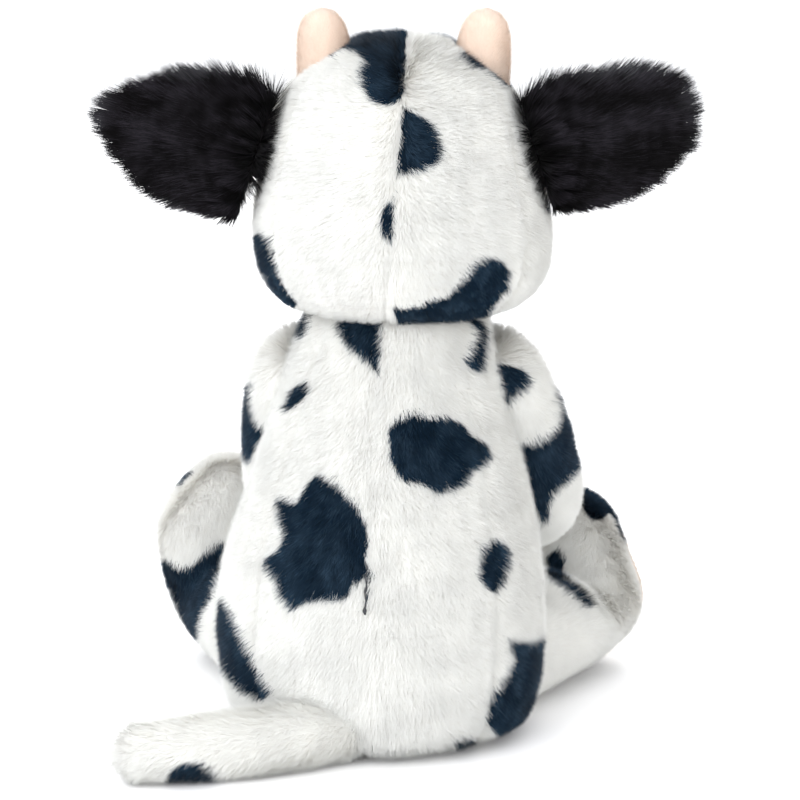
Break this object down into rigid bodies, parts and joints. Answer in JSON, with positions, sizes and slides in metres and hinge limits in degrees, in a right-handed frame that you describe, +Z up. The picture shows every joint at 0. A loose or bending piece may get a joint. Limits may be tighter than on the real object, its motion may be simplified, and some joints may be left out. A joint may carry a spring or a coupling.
{
  "type": "plush cow",
  "caption": "Seated plush toy cow with a soft stuffed body, a head that turns, and arms, legs, ears and a tail sewn on so that they swing.",
  "frame": {"origin": "on the floor, under the middle of the flat that the seat of the body rests on", "axes": "+Z up, the cow faces -Y, its own left is +X"},
  "size_m": [0.2285, 0.229, 0.2989],
  "materials": {
    "white_pile": "short dense fluffy pile",
    "black_pile": "long shaggy pile",
    "peach_suede": "short brushed pile",
    "fibre_fill": "loose polyester fibre",
    "calico": "plain woven cotton",
    "gloss_black": "polished",
    "nylon": "as moulded"
  },
  "bodies": {
    "torso": {"body_skin": "white_pile", "body_stuffing": "fibre_fill", "pellet_bag": "calico"},
    "head": {"head_skin": "white_pile", "head_stuffing": "fibre_fill", "muzzle_skin": "peach_suede", "muzzle_stuffing": "fibre_fill", "eye_left": "gloss_black", "eye_right": "gloss_black", "eye_washer_left": "nylon", "eye_washer_right": "nylon", "horn_left_skin": "peach_suede", "horn_left_stuffing": "fibre_fill", "horn_right_skin": "peach_suede", "horn_right_stuffing": "fibre_fill"},
    "arm_left": {"arm_left_skin": "white_pile", "arm_left_stuffing": "fibre_fill"},
    "arm_right": {"arm_right_skin": "white_pile", "arm_right_stuffing": "fibre_fill"},
    "leg_left": {"leg_left_skin": "white_pile", "leg_left_stuffing": "fibre_fill", "sole_left": "peach_suede"},
    "leg_right": {"leg_right_skin": "white_pile", "leg_right_stuffing": "fibre_fill", "sole_right": "peach_suede"},
    "ear_left": {"ear_left_fur": "black_pile", "ear_left_lining": "peach_suede"},
    "ear_right": {"ear_right_fur": "black_pile", "ear_right_lining": "peach_suede"},
    "tail": {"tail_skin": "white_pile", "tail_stuffing": "fibre_fill"}
  },
  "joints": [
    {"name": "head_turn", "type": "hinge", "parent": "torso", "child": "head", "pos_m": [-0.0065, 0, 0.18], "axis": [0, 0, 1], "range_deg": [-20, 20], "stiffness_Nm_per_rad": 0.1},
    {"name": "arm_left_lift", "type": "hinge", "parent": "torso", "child": "arm_left", "pos_m": [0.03587, -0.01215, 0.149], "axis": [-1, 0, 0], "range_deg": [0, 50]},
    {"name": "arm_right_lift", "type": "hinge", "parent": "torso", "child": "arm_right", "pos_m": [-0.04663, -0.01215, 0.149], "axis": [-1, 0, 0], "range_deg": [0, 50]},
    {"name": "leg_left_spread", "type": "hinge", "parent": "torso", "child": "leg_left", "pos_m": [0.03798, -0.02097, 0.026], "axis": [0, 0, 1], "range_deg": [-8, 20], "stiffness_Nm_per_rad": 0.1},
    {"name": "leg_right_spread", "type": "hinge", "parent": "torso", "child": "leg_right", "pos_m": [-0.03986, -0.02097, 0.026], "axis": [0, 0, -1], "range_deg": [-8, 20], "stiffness_Nm_per_rad": 0.1},
    {"name": "ear_left_flap", "type": "hinge", "parent": "head", "child": "ear_left", "pos_m": [0.05465, 0.00334, 0.243], "axis": [-0.2071, -0.0181, 0.9781], "range_deg": [-30, 30], "stiffness_Nm_per_rad": 0.02},
    {"name": "ear_right_flap", "type": "hinge", "parent": "head", "child": "ear_right", "pos_m": [-0.0673, -0.00733, 0.243], "axis": [0.2071, 0.0181, 0.9781], "range_deg": [-30, 30], "stiffness_Nm_per_rad": 0.02},
    {"name": "tail_swing", "type": "hinge", "parent": "torso", "child": "tail", "pos_m": [0.01284, 0.04149, 0.0145], "axis": [0, 0, 1], "range_deg": [0, 45], "stiffness_Nm_per_rad": 0.03}
  ]
}
